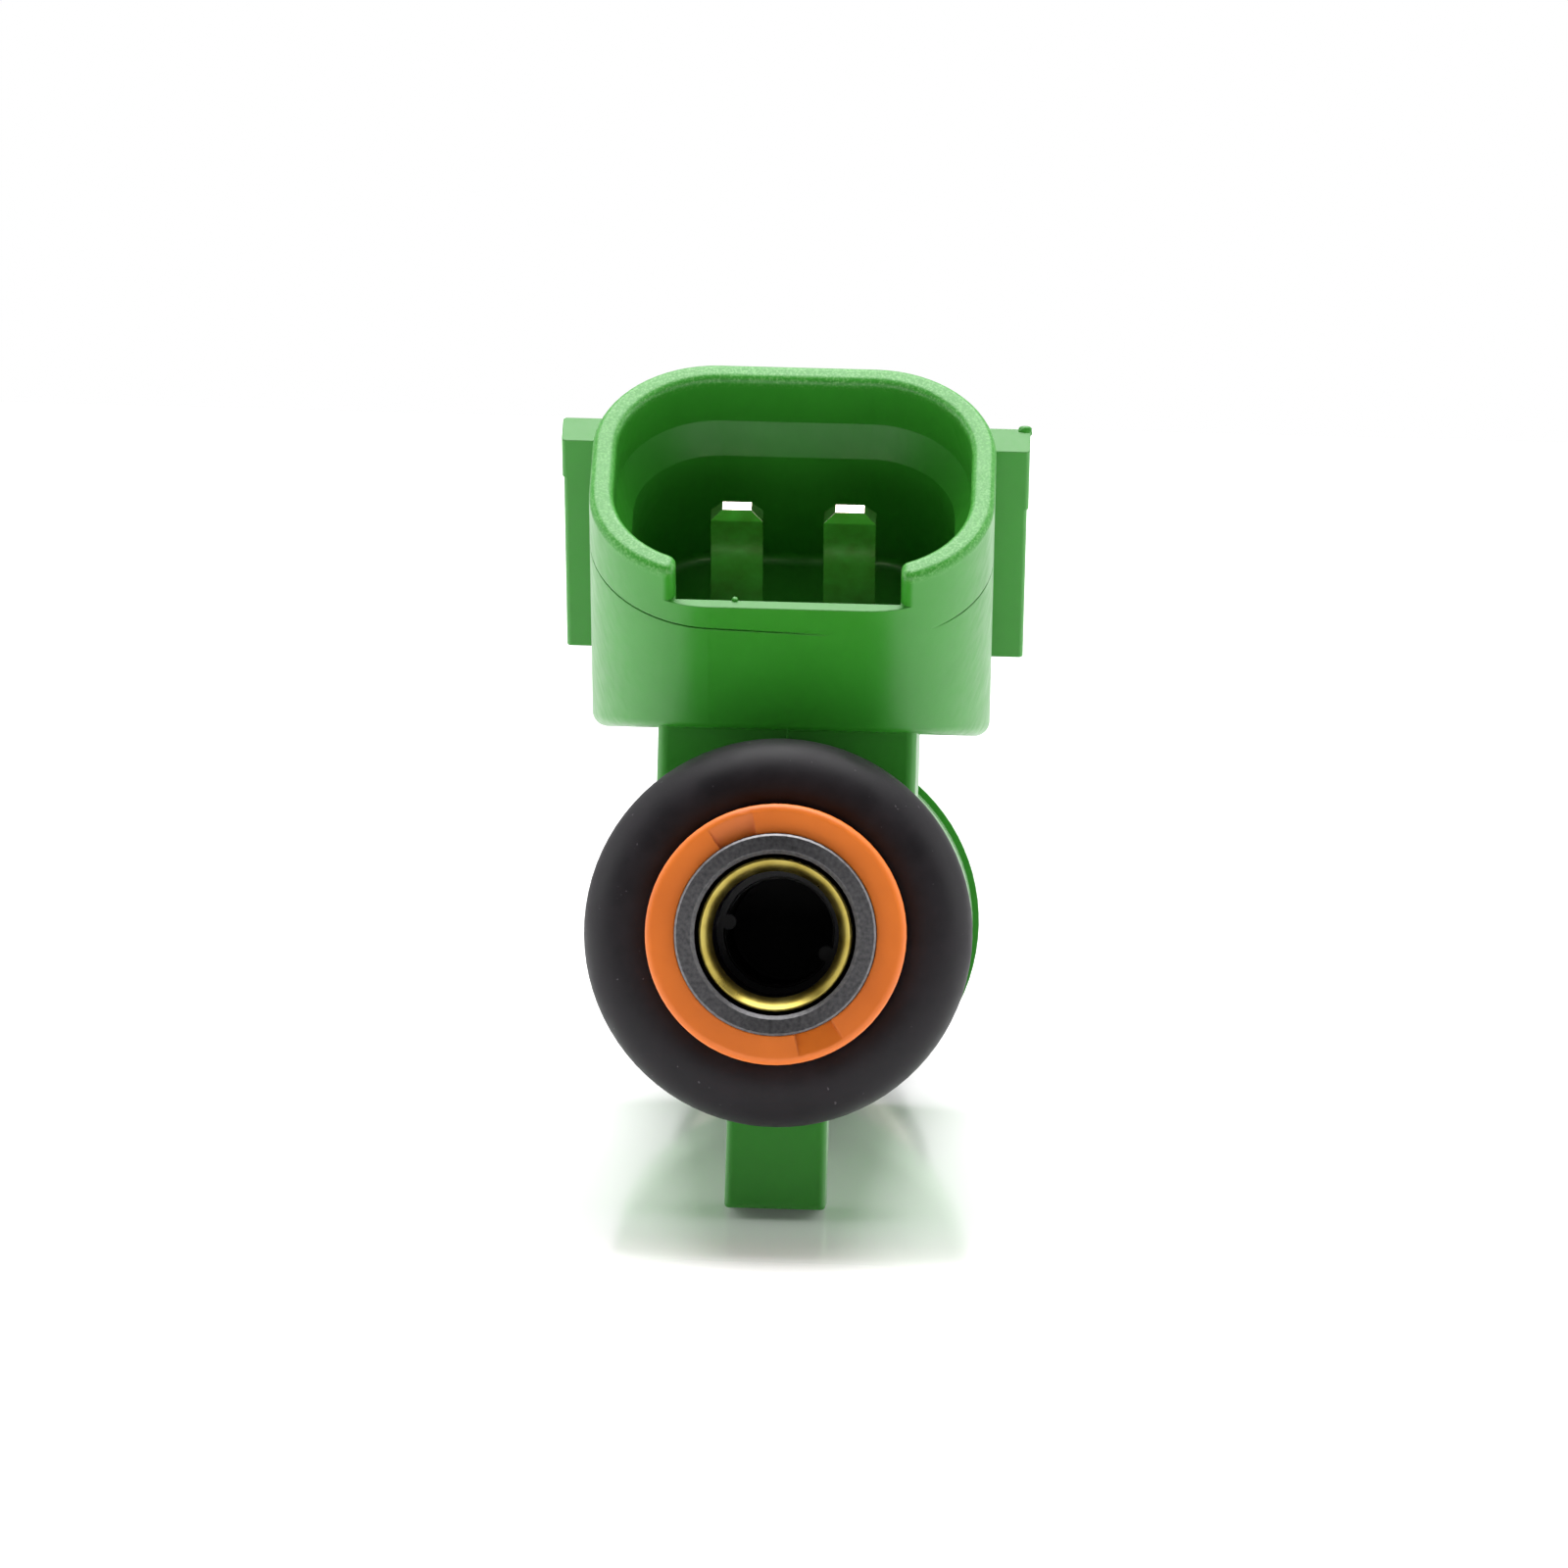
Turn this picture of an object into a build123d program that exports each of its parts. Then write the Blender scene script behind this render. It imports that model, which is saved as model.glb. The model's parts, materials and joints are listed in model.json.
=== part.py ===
"""Port fuel injector: a steel fuel tube with the solenoid valve inside, overmoulded in plastic.

The injector's axis is Y. Fuel enters at the -Y end and sprays out at the +Y end, and the electrical
connector stands up over the tube, leaning 45 degrees back towards the inlet. The origin is on the axis,
in the middle plane of the upper O-ring. +X is to the right seen from the inlet and +Z is up.
Everything is in millimetres. A "station" is a Y position.
"""

import os
from math import cos, radians, sin, sqrt

from build123d import *

os.makedirs("parts", exist_ok=True)

# ------------------------------------------------------------------ driving dimensions
FIT_GAP = 0.02  # between pieces that are pushed together
RUN_GAP = 0.05  # between the needle and what guides it
CUT_CLEAR = 1.0  # how far a cut runs past the surface it starts from
ROOT = 1.0  # how far a boss or rib runs into what it grows from
TINY = 0.01  # for choosing edges by their place

# fuel tube
TUBE_R = 3.75
BORE_R = 3.0
TUBE_START = -4.8
TUBE_LENGTH = 60.0
TUBE_BEVEL = 0.08
TUBE_MOUTH_BEVEL = 0.15

# inlet end: upper O-ring, backup ring and fuel filter
UPPER_SECTION = 3.53
BACKUP_R = 4.85
BACKUP_START = -4.3
BACKUP_LENGTH = 2.4
BACKUP_EDGE_R = 0.25
BACKUP_RECESS_TILT = 23.5  # degrees from upright
BACKUP_RECESS_SPAN = 22.0
BACKUP_RECESS_DEPTH = 0.2  # at the tube; the floor rises to nothing at the rim
COLLAR_BORE_R = 2.35
COLLAR_LIP_R = 2.87
COLLAR_EDGE = 0.1  # width of the lip's rounded front edge
COLLAR_FLARE = 0.5  # length of the cone that opens the bore to the lip
COLLAR_FLARE_R = 1.2
COLLAR_START = -4.4
COLLAR_LIP_LENGTH = 1.8
COLLAR_SHOULDER = 0.3
COLLAR_LENGTH = 6.0
MESH_R = 2.1
MESH_WALL = 0.12
CAGE_R = 2.55
CAGE_LENGTH = 10.8
CAGE_RING_LENGTH = 1.2
CAGE_RIB_WIDTH = 0.6
CAGE_RIBS = 4
CAGE_RIB_INSET = 0.02
CAGE_FLOOR = 0.5
CAGE_NUB_R = 0.3
CAGE_NUB_CIRCLE_R = 1.95
CAGE_NUB_LENGTH = 0.4
CAGE_NUB_ANGLES = (170.0, -23.0)

# magnetic circuit
CORE_START = 17.2
CORE_LENGTH = 14.0
CORE_BORE_R = 1.6
CORE_CHAMFER = 0.3
SLEEVE_BORE_R = 0.95
SLEEVE_START = 17.8
SLEEVE_LENGTH = 5.6
SLEEVE_SLIT = 0.35
YOKE_R = 6.6
YOKE_WALL = 0.5
YOKE_START = 18.0
YOKE_LENGTH = 15.2
YOKE_FLOOR = 1.5
YOKE_NECK_R = 5.2
YOKE_NECK_END = 44.0
YOKE_CORNER_R = 0.5
PLATE_THICKNESS = 1.2
PLATE_SLOT_WIDTH = 6.4
BOBBIN_WALL = 0.55
BOBBIN_FLANGE = 1.0
WINDING_R = 5.9
WINDING_CORNER_R = 0.25

# needle
LIFT = 0.1
ARMATURE_LENGTH = 6.88
ARMATURE_POCKET_DEPTH = 2.0
ROD_R = 1.2
ROD_BORE_R = 0.7
ROD_GRIP = 3.0  # length of rod inside the armature
ROD_PORT_R = 0.4
ROD_CUP_DEPTH = 0.4  # how far the rod's end reaches round the ball
WELD_GAP = 0.001
BALL_R = 1.75
BALL_STATION = 50.4
SPRING_WIRE = 0.45
SPRING_R = 1.15
SPRING_TURNS = 8

# valve seat and engine end
GUIDE_LENGTH = 1.6
GUIDE_PORT_R = 0.35
GUIDE_PORTS = 6
SEAT_FROM_BALL = 0.2  # seat's front face, past the ball's middle
SEAT_LENGTH = 4.2
SEAT_OUTLET_R = 0.8
ORIFICE_PLATE_THICKNESS = 0.2
ORIFICE_R = 0.08
ORIFICES = 12
ORIFICE_CIRCLE_R = 0.5
LOWER_SECTION = 1.9
LOWER_O_RING_STATION = 48.4
SPACER_R = 5.3
SPACER_LENGTH = 2.2
SPACER_CORNER_R = 0.25
SEAL_SIDE_GAP = 0.3
CAP_R = 4.6
CAP_LENGTH = 7.5
CAP_MOUTH_R = 2.6
CAP_CHAMFER = 0.4

# overmoulded body
COLLAR_FRONT = 1.9
COLLAR_FRONT_R = 6.9
GROOVE_START = 3.8
GROOVE_R = 5.9
BODY_START = 5.4
BODY_R = 7.2
GRIP_START = 21.2
GRIP_LENGTH = 9.0
GRIP_R = 6.9
GRIP_RIBS = 5
GRIP_RIB_WIDTH = 0.8
FLANGE_START = 31.2
FLANGE_R = 7.45
BODY_END = 35.2
TAB_WIDTH = 3.86
TAB_START = 6.2
TAB_LENGTH = 3.5
TAB_BOTTOM = -10.65
NECK_WIDTH = 9.9
NECK_START = 6.1
NECK_END = 19.2
NECK_LAP = 0.2  # how far the neck runs up into the box
NECK_SHELF = 4.0  # length of the neck's flat top, inside the box
WEB_TOP = (15.8, 13.0)  # station and height where the rear web leaves the box
WEB_FOOT_HEIGHT = 8.5
BODY_FILLET = 0.3
NECK_FILLET = 0.4
TAB_FILLET = 0.3
TAB_FOOT_FILLET = 0.15

# connector box; depths are measured down from the mouth, along the box
BOX_TILT = 45.0
MOUTH_STATION = 4.16
MOUTH_HEIGHT = 17.51
BOX_WIDTH = 15.4
BOX_HEIGHT = 11.92
BOX_CORNER_R = 4.7
BOX_DEPTH = 12.6
BOX_UNDERSIDE = 7.65  # the flat underside's height above the axis
UNDERSIDE_FILLET = 0.6
WITNESS_DEPTH = 2.8  # where the two mould halves meet, leaving a fine groove
WITNESS_TILT = 3.2  # degrees; the groove runs deeper on the right
WITNESS_WIDTH = 0.07
WITNESS_SINK = 0.07
CAVITY_WIDTH = 13.54
CAVITY_HEIGHT = 10.12
CAVITY_CORNER_R = 3.9
CAVITY_TAPER_START = 2.2
CAVITY_TAPER_END = 3.5
CAVITY_TAPER = 0.6  # each side comes in by this much
CAVITY_DEPTH = 8.95
CAVITY_FLOOR_FILLET = 0.4
RIM_FILLET = 0.3
NOTCH_WIDTH = 8.5
NOTCH_DEPTH = 1.6
NOTCH_LAND = 0.4
NOTCH_SLOPE = (1.2, 2.0)  # past the land, the wall slopes inwards and down by these
NOTCH_END_R = 0.35
RAIL_LOW = 2.8
RAIL_HIGH = 4.08
RAIL_ROOT = 6.6  # inside the wall
RAIL_REACH = 8.92
RAIL_HEAD_REACH = 8.98
RAIL_EDGE_R = 0.15
RAIL_START = 1.36
RAIL_END = 12.3
RAIL_LEFT_HEAD_END = 3.3
RAIL_RIGHT_HEAD_END = 4.4

# terminals
BLADE_WIDTH = 2.0
BLADE_THICKNESS = 0.64
BLADE_SPACING = 4.32
BLADE_OFFSET = 0.6  # above the box's middle
BLADE_TIP_DEPTH = 2.5
BLADE_TIP_WIDTH = 1.1
BLADE_TIP_THICKNESS = 0.44
BLADE_TIP_TAPER = 0.5  # length over which the tip grows to full size
BLADE_END_DEPTH = 11.0  # where the blade narrows to its tail, inside the plastic
TAIL_WIDTH = 1.2
TAIL_HEIGHT = 4.8  # above the axis
TAIL_BEND_R = 0.8
LEAD_R = 0.15
LEAD_HOLE_GAP = 0.1

# ------------------------------------------------------------------ derived stations
tube_end = TUBE_START + TUBE_LENGTH
backup_end = BACKUP_START + BACKUP_LENGTH
collar_end = COLLAR_START + COLLAR_LENGTH
cage_end = collar_end + CAGE_LENGTH
mesh_start = collar_end + CAGE_NUB_LENGTH + FIT_GAP
core_end = CORE_START + CORE_LENGTH
sleeve_end = SLEEVE_START + SLEEVE_LENGTH
yoke_end = YOKE_START + YOKE_LENGTH
yoke_floor_start = yoke_end - YOKE_FLOOR
plate_end = YOKE_START + PLATE_THICKNESS
bobbin_start = plate_end + FIT_GAP
bobbin_end = yoke_floor_start - FIT_GAP
armature_start = core_end + LIFT + FIT_GAP
armature_end = armature_start + ARMATURE_LENGTH
pocket_end = armature_start + ARMATURE_POCKET_DEPTH
rod_start = armature_end - ROD_GRIP
rod_end = BALL_STATION - BALL_R + ROD_CUP_DEPTH
seat_start = BALL_STATION + SEAT_FROM_BALL
guide_start = seat_start - GUIDE_LENGTH
seat_end = seat_start + SEAT_LENGTH
rib_pitch = GRIP_LENGTH / (GRIP_RIBS + 1)
spacer_end = LOWER_O_RING_STATION - LOWER_SECTION / 2
cap_start = LOWER_O_RING_STATION + LOWER_SECTION / 2 + SEAL_SIDE_GAP
cap_end = cap_start + CAP_LENGTH

# the connector's mouth: x across, y up its back wall, z straight out of it
lean = radians(BOX_TILT)
mouth = Plane(
    origin=(0, MOUTH_STATION, MOUTH_HEIGHT),
    x_dir=(1, 0, 0),
    z_dir=(0, -sin(lean), cos(lean)),
)


def ring_profile(inner, outer, start, end):
    """The rectangular section of a plain ring, ready to be turned about Y."""
    with BuildSketch() as profile:
        with Locations(((inner + outer) / 2, (start + end) / 2)):
            Rectangle(outer - inner, end - start)
    return profile.sketch


def turned_profile(*points):
    """A closed section of (radius, station) points, ready to be turned about Y."""
    with BuildSketch() as profile:
        with BuildLine():
            Polyline(*points, close=True)
        make_face()
    return profile.sketch


def station(y):
    """The plane across the axis at a station, seen from the inlet."""
    return Plane.XZ.offset(-y)


# ------------------------------------------------------------------ fuel tube
with BuildPart() as fuel_tube:
    revolve(ring_profile(BORE_R, TUBE_R, TUBE_START, tube_end), axis=Axis.Y)
    inner_edge, outer_edge = fuel_tube.edges().group_by(Axis.Y)[0].sort_by(SortBy.LENGTH)
    chamfer(inner_edge, TUBE_MOUTH_BEVEL)
    chamfer(outer_edge, TUBE_BEVEL)

fuel_tube.part.label = "fuel_tube"
export_step(fuel_tube.part, "parts/fuel_tube.step")

# ------------------------------------------------------------------ inlet end
with BuildPart() as upper_o_ring:
    with BuildSketch():
        with Locations((TUBE_R + FIT_GAP + UPPER_SECTION / 2, 0)):
            Circle(UPPER_SECTION / 2)
    revolve(axis=Axis.Y)

upper_o_ring.part.label = "upper_o_ring"
export_step(upper_o_ring.part, "parts/upper_o_ring.step")

# The backup ring has two wedge-shaped recesses in its front face, opposite each other.
with BuildPart() as backup_ring:
    revolve(ring_profile(TUBE_R + FIT_GAP, BACKUP_R, BACKUP_START, backup_end), axis=Axis.Y)
    fillet(backup_ring.edges().group_by(Axis.Y)[0].sort_by(SortBy.LENGTH)[-1], BACKUP_EDGE_R)
    for middle in (90 + BACKUP_RECESS_TILT, 270 + BACKUP_RECESS_TILT):
        first = radians(middle + BACKUP_RECESS_SPAN / 2)
        recess_plane = Plane(
            origin=(0, 0, 0), x_dir=(cos(first), 0, sin(first)), z_dir=(-sin(first), 0, cos(first))
        )
        with BuildSketch(recess_plane):
            with BuildLine():
                Polyline(
                    (TUBE_R, BACKUP_START - CUT_CLEAR),
                    (TUBE_R, BACKUP_START + BACKUP_RECESS_DEPTH),
                    (BACKUP_R - BACKUP_EDGE_R, BACKUP_START),
                    (BACKUP_R - BACKUP_EDGE_R, BACKUP_START - CUT_CLEAR),
                    close=True,
                )
            make_face()
        revolve(axis=Axis.Y, revolution_arc=BACKUP_RECESS_SPAN, mode=Mode.SUBTRACT)

backup_ring.part.label = "backup_ring"
export_step(backup_ring.part, "parts/backup_ring.step")

# The collar is pressed into the tube; its mouth is flared with a slightly crowned wall.
flare_end = COLLAR_START + COLLAR_FLARE
with BuildPart() as filter_collar:
    with BuildSketch():
        with BuildLine():
            edge = RadiusArc(
                (COLLAR_LIP_R, COLLAR_START + COLLAR_EDGE),
                (COLLAR_LIP_R - COLLAR_EDGE, COLLAR_START),
                COLLAR_EDGE,
            )
            flare = RadiusArc(edge @ 1, (COLLAR_BORE_R, flare_end), COLLAR_FLARE_R)
            Polyline(
                flare @ 1,
                (COLLAR_BORE_R, collar_end),
                (BORE_R, collar_end),
                (BORE_R, COLLAR_START + COLLAR_LIP_LENGTH + COLLAR_SHOULDER),
                (COLLAR_LIP_R, COLLAR_START + COLLAR_LIP_LENGTH),
                edge @ 0,
            )
        make_face()
    revolve(axis=Axis.Y)

filter_collar.part.label = "filter_collar"
export_step(filter_collar.part, "parts/filter_collar.step")

with BuildPart() as filter_cage:
    for start in (collar_end, cage_end - CAGE_RING_LENGTH):
        revolve(ring_profile(MESH_R, CAGE_R, start, start + CAGE_RING_LENGTH), axis=Axis.Y)
    with BuildSketch(station(collar_end)):
        with PolarLocations((MESH_R + CAGE_R) / 2, CAGE_RIBS, start_angle=45):
            Rectangle(CAGE_R - MESH_R - 2 * CAGE_RIB_INSET, CAGE_RIB_WIDTH)
    extrude(amount=-CAGE_LENGTH)
    with BuildSketch(station(cage_end)):
        Circle((MESH_R + CAGE_R) / 2)
    extrude(amount=CAGE_FLOOR)
    with BuildSketch(station(collar_end)):
        for angle in CAGE_NUB_ANGLES:
            with Locations(Vector(CAGE_NUB_CIRCLE_R, 0).rotate(Axis.Z, angle)):
                Circle(CAGE_NUB_R)
    extrude(amount=-CAGE_NUB_LENGTH)

filter_cage.part.label = "filter_cage"
export_step(filter_cage.part, "parts/filter_cage.step")

with BuildPart() as filter_mesh:
    revolve(
        ring_profile(MESH_R - MESH_WALL, MESH_R, mesh_start, cage_end - CAGE_FLOOR),
        axis=Axis.Y,
    )

filter_mesh.part.label = "filter_mesh"
export_step(filter_mesh.part, "parts/filter_mesh.step")

# ------------------------------------------------------------------ magnetic circuit
with BuildPart() as fixed_core:
    revolve(ring_profile(CORE_BORE_R, BORE_R, CORE_START, core_end), axis=Axis.Y)
    chamfer(fixed_core.edges().group_by(Axis.Y)[0], CORE_CHAMFER)

fixed_core.part.label = "fixed_core"
export_step(fixed_core.part, "parts/fixed_core.step")

with BuildPart() as adjusting_sleeve:
    revolve(ring_profile(SLEEVE_BORE_R, CORE_BORE_R, SLEEVE_START, sleeve_end), axis=Axis.Y)
    with BuildSketch(station(SLEEVE_START)):
        with Locations((0, CORE_BORE_R)):
            Rectangle(SLEEVE_SLIT, 2 * (CORE_BORE_R - SLEEVE_BORE_R / 2))
    extrude(amount=-SLEEVE_LENGTH, mode=Mode.SUBTRACT)

adjusting_sleeve.part.label = "adjusting_sleeve"
export_step(adjusting_sleeve.part, "parts/adjusting_sleeve.step")

# The yoke is a deep-drawn cup whose neck grips the tube and shows below the moulding.
with BuildPart() as yoke_housing:
    revolve(
        turned_profile(
            (YOKE_R, YOKE_START),
            (YOKE_R, yoke_end),
            (YOKE_NECK_R, yoke_end),
            (YOKE_NECK_R, YOKE_NECK_END),
            (TUBE_R + FIT_GAP, YOKE_NECK_END),
            (TUBE_R + FIT_GAP, yoke_floor_start),
            (YOKE_R - YOKE_WALL, yoke_floor_start),
            (YOKE_R - YOKE_WALL, YOKE_START),
        ),
        axis=Axis.Y,
    )
    fillet(yoke_housing.edges().group_by(Axis.Y)[-1].sort_by(SortBy.LENGTH)[-1], YOKE_CORNER_R)

yoke_housing.part.label = "yoke_housing"
export_step(yoke_housing.part, "parts/yoke_housing.step")

# The plate closes the yoke's open end; its slot lets the terminals in to the coil.
with BuildPart() as yoke_plate:
    revolve(
        ring_profile(TUBE_R + FIT_GAP, YOKE_R - YOKE_WALL - FIT_GAP, YOKE_START, plate_end),
        axis=Axis.Y,
    )
    with BuildSketch(station(YOKE_START)):
        with Locations((0, YOKE_R / 2)):
            Rectangle(PLATE_SLOT_WIDTH, YOKE_R)
    extrude(amount=-PLATE_THICKNESS, mode=Mode.SUBTRACT)

yoke_plate.part.label = "yoke_plate"
export_step(yoke_plate.part, "parts/yoke_plate.step")

bobbin_tube_r = TUBE_R + FIT_GAP + BOBBIN_WALL
bobbin_flange_r = YOKE_R - YOKE_WALL - FIT_GAP
with BuildPart() as coil_bobbin:
    revolve(ring_profile(TUBE_R + FIT_GAP, bobbin_tube_r, bobbin_start, bobbin_end), axis=Axis.Y)
    for start in (bobbin_start, bobbin_end - BOBBIN_FLANGE):
        revolve(
            ring_profile(TUBE_R + FIT_GAP, bobbin_flange_r, start, start + BOBBIN_FLANGE),
            axis=Axis.Y,
        )
    with BuildSketch(station(bobbin_start)):
        with GridLocations(BLADE_SPACING, 0, 2, 1):
            with Locations((0, TAIL_HEIGHT)):
                Circle(LEAD_R + LEAD_HOLE_GAP)
    extrude(amount=-BOBBIN_FLANGE, mode=Mode.SUBTRACT)

coil_bobbin.part.label = "coil_bobbin"
export_step(coil_bobbin.part, "parts/coil_bobbin.step")

winding_start = bobbin_start + BOBBIN_FLANGE + FIT_GAP
winding_end = bobbin_end - BOBBIN_FLANGE - FIT_GAP
with BuildPart() as coil_winding:
    revolve(
        ring_profile(bobbin_tube_r + FIT_GAP, WINDING_R, winding_start, winding_end), axis=Axis.Y
    )
    fillet(coil_winding.edges().sort_by(SortBy.LENGTH)[-2:], WINDING_CORNER_R)

coil_winding.part.label = "coil_winding"
export_step(coil_winding.part, "parts/coil_winding.step")

with BuildPart() as coil_leads:
    with BuildSketch(station(plate_end)):
        with GridLocations(BLADE_SPACING, 0, 2, 1):
            with Locations((0, TAIL_HEIGHT)):
                Circle(LEAD_R)
    extrude(amount=plate_end - winding_start)

coil_leads.part.label = "coil_leads"
export_step(coil_leads.part, "parts/coil_leads.step")

# ------------------------------------------------------------------ needle
with BuildPart() as armature:
    revolve(
        turned_profile(
            (CORE_BORE_R, armature_start),
            (BORE_R - RUN_GAP, armature_start),
            (BORE_R - RUN_GAP, armature_end),
            (ROD_R, armature_end),
            (ROD_R, rod_start),
            (ROD_BORE_R, rod_start),
            (ROD_BORE_R, pocket_end),
            (CORE_BORE_R, pocket_end),
        ),
        axis=Axis.Y,
    )

armature.part.label = "armature"
export_step(armature.part, "parts/armature.step")

with BuildPart() as valve_ball:
    with Locations((0, BALL_STATION, 0)):
        Sphere(BALL_R)

valve_ball.part.label = "valve_ball"
export_step(valve_ball.part, "parts/valve_ball.step")

# The rod is a tube; fuel leaves it through cross ports just ahead of the ball.
with BuildPart() as valve_rod:
    revolve(ring_profile(ROD_BORE_R, ROD_R, rod_start, rod_end), axis=Axis.Y)
    with Locations((0, BALL_STATION - 2 * BALL_R, 0)):
        Cylinder(ROD_PORT_R, 3 * ROD_R, mode=Mode.SUBTRACT)
    with Locations((0, BALL_STATION, 0)):
        Sphere(BALL_R + WELD_GAP, mode=Mode.SUBTRACT)

valve_rod.part.label = "valve_rod"
export_step(valve_rod.part, "parts/valve_rod.step")

spring_start = sleeve_end + SPRING_WIRE / 2 + FIT_GAP
spring_end = pocket_end - SPRING_WIRE / 2 - FIT_GAP
spring_length = spring_end - spring_start
with BuildPart() as return_spring:
    with BuildLine():
        coil = Helix(
            pitch=spring_length / SPRING_TURNS,
            height=spring_length,
            radius=SPRING_R,
            center=(0, spring_start, 0),
            direction=(0, 1, 0),
        )
    with BuildSketch(Plane(origin=coil @ 0, z_dir=coil % 0)):
        Circle(SPRING_WIRE / 2)
    sweep(is_frenet=True)

return_spring.part.label = "return_spring"
export_step(return_spring.part, "parts/return_spring.step")

# ------------------------------------------------------------------ valve seat
with BuildPart() as guide_ring:
    revolve(ring_profile(BALL_R + RUN_GAP, BORE_R, guide_start, seat_start), axis=Axis.Y)
    with BuildSketch(station(guide_start)):
        with PolarLocations((BALL_R + BORE_R) / 2, GUIDE_PORTS):
            Circle(GUIDE_PORT_R)
    extrude(amount=-GUIDE_LENGTH, mode=Mode.SUBTRACT)

guide_ring.part.label = "guide_ring"
export_step(guide_ring.part, "parts/guide_ring.step")

# A 90 degree cone that just clears the closed ball: at this station its radius would be zero.
cone_tip = BALL_STATION + (BALL_R + FIT_GAP) * sqrt(2)
with BuildPart() as valve_seat:
    revolve(
        turned_profile(
            (cone_tip - seat_start, seat_start),
            (BORE_R, seat_start),
            (BORE_R, seat_end),
            (SEAT_OUTLET_R, seat_end),
            (SEAT_OUTLET_R, cone_tip - SEAT_OUTLET_R),
        ),
        axis=Axis.Y,
    )

valve_seat.part.label = "valve_seat"
export_step(valve_seat.part, "parts/valve_seat.step")

with BuildPart() as orifice_plate:
    with BuildSketch(station(seat_end)):
        Circle(BORE_R - FIT_GAP)
        with PolarLocations(ORIFICE_CIRCLE_R, ORIFICES):
            Circle(ORIFICE_R, mode=Mode.SUBTRACT)
    extrude(amount=-ORIFICE_PLATE_THICKNESS)

orifice_plate.part.label = "orifice_plate"
export_step(orifice_plate.part, "parts/orifice_plate.step")

# ------------------------------------------------------------------ engine end
with BuildPart() as lower_spacer:
    revolve(
        ring_profile(TUBE_R + FIT_GAP, SPACER_R, spacer_end - SPACER_LENGTH, spacer_end - FIT_GAP),
        axis=Axis.Y,
    )
    fillet(lower_spacer.edges().sort_by(SortBy.LENGTH)[-2:], SPACER_CORNER_R)

lower_spacer.part.label = "lower_spacer"
export_step(lower_spacer.part, "parts/lower_spacer.step")

with BuildPart() as lower_o_ring:
    with BuildSketch():
        with Locations((TUBE_R + FIT_GAP + LOWER_SECTION / 2, LOWER_O_RING_STATION)):
            Circle(LOWER_SECTION / 2)
    revolve(axis=Axis.Y)

lower_o_ring.part.label = "lower_o_ring"
export_step(lower_o_ring.part, "parts/lower_o_ring.step")

with BuildPart() as nozzle_cap:
    revolve(
        turned_profile(
            (TUBE_R + FIT_GAP, cap_start),
            (CAP_R, cap_start),
            (CAP_R, cap_end),
            (CAP_MOUTH_R, cap_end),
            (CAP_MOUTH_R, tube_end + FIT_GAP),
            (TUBE_R + FIT_GAP, tube_end + FIT_GAP),
        ),
        axis=Axis.Y,
    )
    chamfer(nozzle_cap.edges().group_by(Axis.Y)[-1], CAP_CHAMFER)

nozzle_cap.part.label = "nozzle_cap"
export_step(nozzle_cap.part, "parts/nozzle_cap.step")

# ------------------------------------------------------------------ terminals
# Each blade follows the connector down. Inside the plastic it narrows to a tail, which bends to lie
# along the axis where it meets the coil.
shoulder_depth = BLADE_TIP_DEPTH + BLADE_TIP_TAPER
tail_top = mouth.from_local_coords(Vector(0, BLADE_OFFSET, -BLADE_END_DEPTH))
bend_station = tail_top.Y + (tail_top.Z - TAIL_HEIGHT)
terminals = []
for label, side in (("terminal_left", -1), ("terminal_right", 1)):
    blade_x = side * BLADE_SPACING / 2
    with BuildPart() as terminal:
        with BuildSketch(mouth.offset(-BLADE_TIP_DEPTH)):
            with Locations((blade_x, BLADE_OFFSET)):
                Rectangle(BLADE_TIP_WIDTH, BLADE_TIP_THICKNESS)
        with BuildSketch(mouth.offset(-shoulder_depth)) as shoulder:
            with Locations((blade_x, BLADE_OFFSET)):
                Rectangle(BLADE_WIDTH, BLADE_THICKNESS)
        loft()
        extrude(shoulder.sketch, amount=shoulder_depth - BLADE_END_DEPTH)
        with BuildLine():
            route = FilletPolyline(
                (blade_x, tail_top.Y, tail_top.Z),
                (blade_x, bend_station, TAIL_HEIGHT),
                (blade_x, plate_end, TAIL_HEIGHT),
                radius=TAIL_BEND_R,
            )
        with BuildSketch(Plane(origin=route @ 0, x_dir=(1, 0, 0), z_dir=route % 0)):
            Rectangle(TAIL_WIDTH, BLADE_THICKNESS)
        sweep()
    terminal.part.label = label
    export_step(terminal.part, f"parts/{label}.step")
    terminals.append(terminal.part)

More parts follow.
